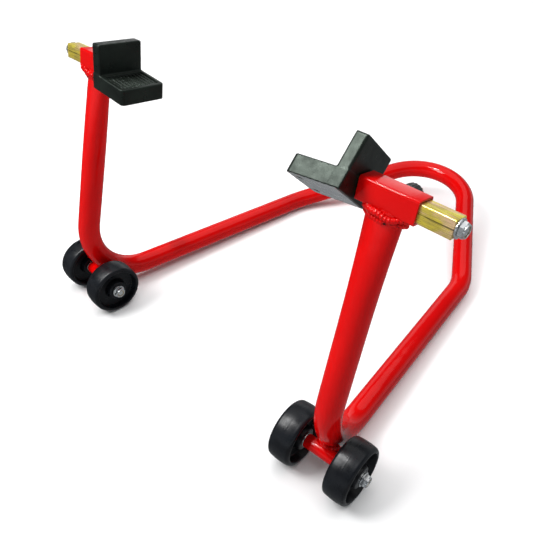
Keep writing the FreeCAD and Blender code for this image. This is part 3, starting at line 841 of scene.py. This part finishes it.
def locking_nut():
    """A hexagon nut with a round collar rolled over its nylon ring."""
    half = HEXAGON_FLATS / 2
    collar = half * 0.93
    shoulder = NUT_HEIGHT * 0.72
    top = NUT_HEIGHT - 0.1
    mouth = NUT_HEIGHT - 1.0
    lip = BOLT_RADIUS * 1.18
    crown = softened([(shoulder, collar), (top, collar), (top, lip), (mouth, lip)], 1.3, 6, False)
    rings = [circle_ring(0, BOLT_RADIUS), circle_ring(0, half * 0.95)]
    rings += hexagon_rings(HEXAGON_FLATS, 0.05, shoulder)
    rings += [circle_ring(*point) for point in crown]
    rings.append(circle_ring(mouth, BOLT_RADIUS))
    return skin(rings, wrap=True)


def nylon_ring():
    """The nylon ring that shows inside a locking nut's collar."""
    start = NUT_HEIGHT - 3.0
    inner = BOLT_RADIUS * 0.97
    profile = [(start, BOLT_RADIUS * 1.3), (NUT_HEIGHT - 0.75, BOLT_RADIUS * 1.22)]
    profile += [(NUT_HEIGHT - 0.9, inner), (start, inner)]
    return lathe(softened(profile, 0.25, 3))


def hexagon_head():
    """A bolt head with a turned-off rim and a shallow dish, facing +X."""
    half = HEXAGON_FLATS / 2
    floor = HEAD_HEIGHT - 0.35
    dish = softened([(HEAD_HEIGHT, half * 0.78), (floor, half * 0.70)], 0.2, 3, closed=False)
    rings = [circle_ring(-0.2, BOLT_RADIUS), circle_ring(0, half * 0.95)]
    rings += hexagon_rings(HEXAGON_FLATS, 0.05, HEAD_HEIGHT)
    rings += [circle_ring(*point) for point in dish]
    rings.append(circle_ring(floor, 0.5))
    return skin(rings)


def bolt_thread(start, end):
    """Rings of the screw thread that all the bolts and studs share."""
    return thread(BOLT_RADIUS, THREAD_PITCH, start, end)


def axle_fasteners(side):
    """Bolt, locking nut and washers of one axle. The nut is at the +X end."""
    end = WHEEL_OFFSET + WHEEL_WIDTH / 2 + WHEEL_PLAY
    stack = end + AXLE_WASHER
    shank = [circle_ring(-stack - 0.1, BOLT_RADIUS), circle_ring(stack, BOLT_RADIUS)]
    rod = skin(shank + bolt_thread(stack + 0.2, stack + AXLE_THREAD))
    bolt = joined([rod, moved(turned_round(hexagon_head()), -stack)])
    starts = (end, -end - AXLE_WASHER)
    washers = joined(
        [ring_shape(start, AXLE_WASHER, AXLE_WASHER_RADIUS, BOLT_BORE) for start in starts]
    )
    pieces = (
        ("axle_rod", bolt, "clear_zinc", "axle_bolt", 30),
        ("axle_locknut", moved(locking_nut(), stack), "clear_zinc", "axle_nut", 30),
        ("axle_locking_ring", moved(nylon_ring(), stack), "nylon", "axle_nut_insert", 35),
        ("axle_washer_set", washers, "clear_zinc", "axle_washers", 35),
    )
    for name, shape, slot, node, sharp in pieces:
        place = axle_place(side)
        add(f"{side}_{name}", shape, place, slot, "frame", f"{side}_{node}", sharp=sharp)


# ---------------------------------------------------------------- wheels

def tread_profile(half, radius, crown, edge):
    """The crowned tread with its rounded shoulders and a fine moulding line, from +X to -X."""
    points = []
    steps = 10
    for step in range(steps + 1):
        turn = pi / 2 * step / steps
        points.append((half - edge + edge * cos(turn), radius - crown - edge + edge * sin(turn)))
    for step in range(1, 12):
        x = (half - edge) * (1 - 2 * step / 12)
        points.append((x, radius - crown * (x / (half - edge)) ** 2))
    for step in range(steps + 1):
        turn = pi / 2 * (1 - step / steps)
        points.append((-half + edge - edge * cos(turn), radius - crown - edge + edge * sin(turn)))
    line = [(0.5, radius - 0.05), (0.2, radius), (-0.2, radius), (-0.5, radius - 0.05)]
    middle = len(points) // 2
    return points[:middle] + line + points[middle + 1:]


def wheel(side, place_name):
    """A moulded wheel: tread, thin rims, deep faces, web and hub."""
    half = WHEEL_WIDTH / 2
    rim = half - 0.2
    hub = half - 0.6
    face = [(rim, 28.9), (4.6, 27.4), (4.0, 14.6), (hub, 12.6), (hub, BUSH_RADIUS)]
    other_face = [(-x, radius) for x, radius in reversed(face)]
    profile = tread_profile(half, WHEEL_RADIUS, 0.7, 4.2)[::-1]
    profile += softened([(half, 31.0)] + face, 1.1, 4, closed=False)[1:]
    profile += softened(other_face + [(-half, 31.0)], 1.1, 4, closed=False)[:-1]
    distance = WHEEL_OFFSET * SIDES[side] * (1 if place_name == "outer" else -1)
    moulding = moved(lathe(profile, count=144), distance)
    bush = ring_shape(-BUSH_LENGTH / 2, BUSH_LENGTH, BUSH_RADIUS, CLOSE_BORE)
    body = f"wheel_{side}_{place_name}"
    node = f"{side}_{place_name}_wheel"
    place = axle_place(side)
    add(f"{body}_moulding", moulding, place, "wheel_plastic", body, node, sharp=40)
    add(f"{body}_bushing", moved(bush, distance), place, "clear_zinc", body, f"{node}_bush")


# ---------------------------------------------------------------- adjusters

def adjuster(side):
    """The square bar. Its long seam is in its material."""
    low, high = (x - SLEEVE_CENTRE.x for x in BAR_X)
    half = BAR_SIZE / 2
    edge = 0.5
    bore = CLOSE_BORE
    profile = [(low, half - edge, 1.0), (low + edge, half, 1.1)]
    profile += [(high - edge, half, 1.1), (high, half - edge, 1.0)]
    profile += [(high, bore, bore * 0.999), (low, bore, bore * 0.999)]
    shape = square_bar(profile)
    body = f"adjuster_{side}"
    place = sleeve_place(side)
    add(f"{side}_square_bar", shape, place, "yellow_zinc", body, f"{side}_adjuster_bar")


def clamp_place(side):
    """From the sleeve's rear face at its middle, with X pointing backwards from it."""
    turn = Matrix.Rotation(pi / 2, 4, "Z")
    return sleeve_place(side) @ Matrix.Translation((CLAMP_OUTBOARD, SLEEVE_SIZE / 2, 0)) @ turn


def knob_shape():
    """The knob: a disc with rounded rims and a shallow dish, fluted where it is widest."""
    profile = [(3.3, 5.0), (3.3, 9.2), (4.6, 10.0), (12.2, 10.0)]
    profile += [(13.8, 8.4), (13.8, 5.6), (13.2, 5.0)]
    count = 144
    rings = []
    for x, radius in softened(profile, 0.9, 4, closed=False):
        ring = []
        for index in range(count):
            turn = 2 * pi * index / count
            flute = KNOB_FLUTE_DEPTH * max(0.0, cos(turn * KNOB_FLUTES)) if radius > 8.8 else 0.0
            ring.append(Vector((x, (radius - flute) * cos(turn), (radius - flute) * sin(turn))))
        rings.append(ring)
    return skin(rings)


def clamp(side):
    """The welded boss, and the fluted knob on its threaded stud."""
    place = clamp_place(side)
    body = f"clamp_{side}"
    boss = ring_shape(0, BOSS_HEIGHT, BOSS_RADIUS, CLOSE_BORE, 0.6)
    stud = skin([circle_ring(-2.3, 2.6), circle_ring(-1.9, 3.4)] + bolt_thread(-1.8, 10.0))
    add(f"{side}_threaded_boss", boss, place, "red_paint", "frame", f"{side}_clamp_boss")
    add(f"{side}_fluted_knob", knob_shape(), place, "knob_plastic", body, f"{side}_clamp_knob")
    add(f"{side}_threaded_stud", stud, place, "clear_zinc", body, f"{side}_clamp_stud")


# ---------------------------------------------------------------- pads

PAD_OUTER_X = 176.2
PAD_REACH = 54.5
PAD_FRONT = -31.5
PAD_BACK = 26.0
PAD_BOTTOM = -16.3
PAD_SEAT = -0.2
PAD_TOP = 33.0
PAD_PLATE = 12.8
PAD_SLOPE = tan(radians(5.8))
PAD_RIM = 4.5
PAD_CORNER = 4.5
PAD_TOP_CORNER = 3.0
PAD_PLATE_CORNER = 2.6
TRAY_CORNER = 3.0
TRAY_FROM_PLATE = 3.0
TRAY_DEPTH = 2.2
RIB_PITCH = 4.74
RIB_HALF_WIDTH = 0.85
RIB_BELOW_RIM = 0.8
RIB_END_GAP = 1.6
PLATE_THICKNESS = 3.0
PLATE_SKIN = 3.5
PLATE_LIP = 1.0
PLATE_CORNER = 4.0
LEG_INSET = 3.5
LEG_TOP = 27.0
LEG_THICKNESS = 3.0
SCREW_INSET = 9.0
SCREW_FROM_FRONT = (12.0, 46.0)
SCREW_HOLE_RADIUS = 3.6
PAD_MESH_STEP = 0.7


def plate_plan_field(inboard, y):
    """Distance from the steel plate's outline, within a thin lip of rubber."""
    low = (-20, PAD_FRONT + PLATE_LIP)
    high = (PAD_REACH - PLATE_LIP, PAD_BACK - PLATE_LIP)
    return rectangle(inboard, y, low, high, PLATE_CORNER)


def pad_field(points):
    """Distance from the moulded rubber, with the pad level and the swivel bolt along X."""
    inboard = PAD_OUTER_X - points[:, 0]
    y, z = points[:, 1], points[:, 2]
    above_bottom = z + inboard * PAD_SLOPE - PAD_BOTTOM
    above_seat = z + (inboard - PAD_PLATE) * PAD_SLOPE - PAD_SEAT
    plan = rectangle(inboard, y, (-2 * PAD_CORNER, PAD_FRONT), (PAD_REACH, PAD_BACK), PAD_CORNER)
    plan = np.maximum(plan, -inboard)
    low = (PAD_FRONT, -4 * PAD_TOP)
    elevation = rectangle(y, z, low, (PAD_BACK, PAD_TOP), PAD_TOP_CORNER)
    plate_plan = rectangle(inboard, y, (0, PAD_FRONT), (PAD_PLATE, PAD_BACK), PAD_PLATE_CORNER)
    plate = smooth_max(plate_plan, elevation, 1.2)
    base = smooth_max(plan, above_seat, 1.4)
    body = smooth_max(smooth_min(plate, base, 1.2), -above_bottom, 0.8)
    low = (PAD_PLATE + TRAY_FROM_PLATE, PAD_FRONT + PAD_RIM)
    high = (PAD_REACH - PAD_RIM, PAD_BACK - PAD_RIM)
    tray_plan = rectangle(inboard, y, low, high, TRAY_CORNER)
    tray = smooth_max(tray_plan, -above_seat - TRAY_DEPTH, 0.5)
    body = smooth_max(body, -tray, 0.8)
    from_rib = np.abs((y - low[1]) % RIB_PITCH - RIB_PITCH / 2)
    rib = smooth_max(from_rib - RIB_HALF_WIDTH, above_seat + RIB_BELOW_RIM, 0.6)
    rib = np.maximum(np.maximum(rib, tray_plan + RIB_END_GAP), -above_seat - 2 * TRAY_DEPTH)
    body = smooth_min(body, rib, 0.6)
    slot = np.maximum(plate_plan_field(inboard, y), above_bottom - PLATE_THICKNESS)
    slot = np.maximum(slot, PLATE_SKIN - inboard)
    return np.maximum(body, -slot)


def bracket_field(points):
    """Distance from the steel angle: the plate under the pad and the leg inside it."""
    inboard = PAD_OUTER_X - points[:, 0]
    y, z = points[:, 1], points[:, 2]
    above_bottom = z + inboard * PAD_SLOPE - PAD_BOTTOM
    plan = plate_plan_field(inboard, y)
    half = PLATE_THICKNESS / 2
    plate = smooth_max(plan, np.abs(above_bottom - half) - half, 0.5)
    low = (PAD_FRONT + LEG_INSET, -2 * PAD_TOP)
    leg_outline = rectangle(y, z, low, (PAD_BACK - LEG_INSET, LEG_TOP), 3.0)
    half = LEG_THICKNESS / 2
    leg = np.maximum(leg_outline, np.abs(inboard - PLATE_SKIN - half) - half)
    leg = np.maximum(leg, 0.5 - above_bottom)
    angle = np.maximum(smooth_min(plate, leg, 1.5), PLATE_SKIN - inboard)
    for along in SCREW_FROM_FRONT:
        away = np.hypot(inboard - PAD_REACH + SCREW_INSET, y - PAD_FRONT - along)
        hole = np.maximum(away - SCREW_HOLE_RADIUS, above_bottom - 2.0)
        angle = smooth_max(angle, -hole, 0.4)
    return angle


def pad_box():
    """Corners of the space that a level pad takes."""
    low = (PAD_OUTER_X - PAD_REACH, PAD_FRONT, PAD_BOTTOM - PAD_REACH * PAD_SLOPE)
    return np.array(low), np.array((PAD_OUTER_X, PAD_BACK, PAD_TOP))


def pad_screw_shape():
    """The two dark countersunk screws, seen from under the plate."""
    profile = [(-1.6, 2.0), (0.5, 3.3), (0.9, 3.3)]
    rings = [circle_ring(-7.0, 2.0, 48)] + [circle_ring(x, radius, 48) for x, radius in profile]
    rings += [hexagon_ring(x, 3.6, 2.1, 48) for x in (0.95, -0.9)]
    screw = skin(rings)
    shapes = []
    downward = Matrix.Rotation(pi / 2 - atan(PAD_SLOPE), 4, "Y")
    inboard = PAD_REACH - SCREW_INSET
    height = PAD_BOTTOM - inboard * PAD_SLOPE + 1.2
    for along in SCREW_FROM_FRONT:
        place = Matrix.Translation((PAD_OUTER_X - inboard, PAD_FRONT + along, height)) @ downward
        shapes.append(([place @ vertex for vertex in screw[0]], screw[1]))
    return joined(shapes)


def swivel_bolt_shape():
    """The swivel bolt: a round head in the pad, a shank through the bar and a threaded end."""
    neck = PAD_OUTER_X - PLATE_SKIN - LEG_THICKNESS
    shank = [circle_ring(neck - 4.0, 6.6), circle_ring(neck, 6.8), circle_ring(neck, BOLT_RADIUS)]
    shank.append(circle_ring(SWIVEL_THREAD_START, BOLT_RADIUS))
    return skin(shank + bolt_thread(SWIVEL_THREAD_START + 0.1, SWIVEL_BOLT_END))


def pads():
    """Both pads: the same rubber, steel angle and fasteners, each at its own angle."""
    washer_start = BAR_X[1] + 0.2
    nut_start = washer_start + SWIVEL_WASHER
    washer = ring_shape(washer_start, SWIVEL_WASHER, SWIVEL_WASHER_RADIUS, BOLT_BORE)
    rubber = surface(pad_field, *pad_box(), PAD_MESH_STEP)
    angle = surface(bracket_field, *pad_box(), PAD_MESH_STEP)
    pieces = (
        ("moulded_pad", rubber, "black_rubber", "rubber_pad", 60),
        ("steel_angle", angle, "clear_zinc", "pad_bracket", 50),
        ("dark_screws", pad_screw_shape(), "knob_plastic", "pad_screws", 30),
        ("pivot_bolt", swivel_bolt_shape(), "clear_zinc", "swivel_bolt", 30),
        ("pivot_washer", washer, "clear_zinc", "swivel_washer", 35),
        ("pivot_locknut", moved(locking_nut(), nut_start), "clear_zinc", "swivel_nut", 30),
        ("pivot_locking_ring", moved(nylon_ring(), nut_start), "nylon", "swivel_nut_insert", 35),
    )
    for side in SIDES:
        place = pad_place(side)
        for name, shape, slot, node, sharp in pieces:
            add(f"{side}_{name}", shape, place, slot, f"pad_{side}", f"{side}_{node}", sharp=sharp)


# ---------------------------------------------------------------- stage

def area_light(name, position, target, size, power):
    """A soft rectangular light that looks at a point, with its width as near X as it can be."""
    light = bpy.data.lights.new(name, "AREA")
    light.shape = "RECTANGLE"
    light.size, light.size_y = size
    light.energy = power
    obj = bpy.data.objects.new(name, light)
    back = (Vector(position) - Vector(target)).normalized()
    across = (X - back * X.dot(back)).normalized()
    turn = Matrix((across, back.cross(across), back)).transposed().to_4x4()
    obj.matrix_world = Matrix.Translation(position) @ turn
    obj.visible_camera = False
    bpy.context.scene.collection.objects.link(obj)
    return obj


def link_light(light, floor, state):
    """Makes a light shine on the floor alone, or on everything but the floor."""
    receivers = bpy.data.collections.new(f"{light.name}_receivers")
    receivers.objects.link(floor)
    light.light_linking.receiver_collection = receivers
    receivers.collection_objects[0].light_linking.link_state = state


def pale_floor():
    """A plain pale floor that reflections don't show: there the world stands in for it."""
    signs = ((-1, -1), (1, -1), (1, 1), (-1, 1))
    corners = [Vector((x * FLOOR_HALF, y * FLOOR_HALF, 0)) for x, y in signs]
    material, tree, shader = node_material("floor")
    colour = patched(tree, noise_value(tree, 3, 3), 0.3, 0.7, 1, *FLOOR)
    tree.links.new(colour, shader.inputs["Base Color"])
    shader.inputs["Roughness"].default_value = 0.9
    floor = link("floor", corners, [(0, 1, 2, 3)], material)
    floor.visible_glossy = False
    return floor


def studio_world():
    """A world palest at the horizon, dim above it, grey below it and darker on the left."""
    world = bpy.data.worlds.new("studio")
    world.use_nodes = True
    tree = world.node_tree
    coordinates = tree.nodes.new("ShaderNodeTexCoord")
    split = tree.nodes.new("ShaderNodeSeparateXYZ")
    tree.links.new(coordinates.outputs["Generated"], split.inputs["Vector"])
    below = remapped(tree, split.outputs["Z"], -0.10, 0.0, 0.3, 0.8)
    above = remapped(tree, split.outputs["Z"], 0.05, 0.45, 1.0, 0.12)
    left = remapped(tree, split.outputs["X"], -0.85, -0.45, 0.35, 1.0)
    background = tree.nodes["Background"]
    background.inputs["Color"].default_value = WORLD_COLOUR
    strength = multiplied(tree, multiplied(tree, below, above), left)
    tree.links.new(strength, background.inputs["Strength"])
    bpy.context.scene.world = world


def stage():
    """A pale floor, soft lights, and a small lamp for the crisp highlights."""
    floor = pale_floor()
    studio_world()
    for light in LIGHTS:
        area_light(*light)
    link_light(area_light(*FLOOR_WASH), floor, "INCLUDE")
    link_light(area_light(*OBJECT_LAMP), floor, "EXCLUDE")
    bpy.context.scene.view_settings.view_transform = "Standard"


def camera():
    """A camera above and in front of the right side, looking down over the stand."""
    data = bpy.data.cameras.new("camera")
    data.sensor_width = SENSOR_WIDTH
    data.lens = FOCAL_LENGTH
    obj = bpy.data.objects.new("camera", data)
    turn = Matrix.Rotation(CAMERA_YAW, 4, "Z")
    turn = turn @ Matrix.Rotation(pi / 2 - CAMERA_PITCH, 4, "X")
    turn = turn @ Matrix.Rotation(CAMERA_ROLL, 4, "Z")
    position = (CAMERA_X, AXLE_Y * MM - CAMERA_BEFORE_AXLES, CAMERA_HEIGHT)
    obj.matrix_world = Matrix.Translation(position) @ turn
    bpy.context.scene.collection.objects.link(obj)
    bpy.context.scene.camera = obj


def build():
    """Every piece of the stand, then its stage and camera."""
    frame_tube()
    for side in SIDES:
        sleeve(side)
        sleeve_bead(side)
        axle_sleeve(side)
        axle_bead(side)
        axle_fasteners(side)
        for place_name in ("outer", "inner"):
            wheel(side, place_name)
        adjuster(side)
        clamp(side)
    pads()
    stage()
    camera()


build()
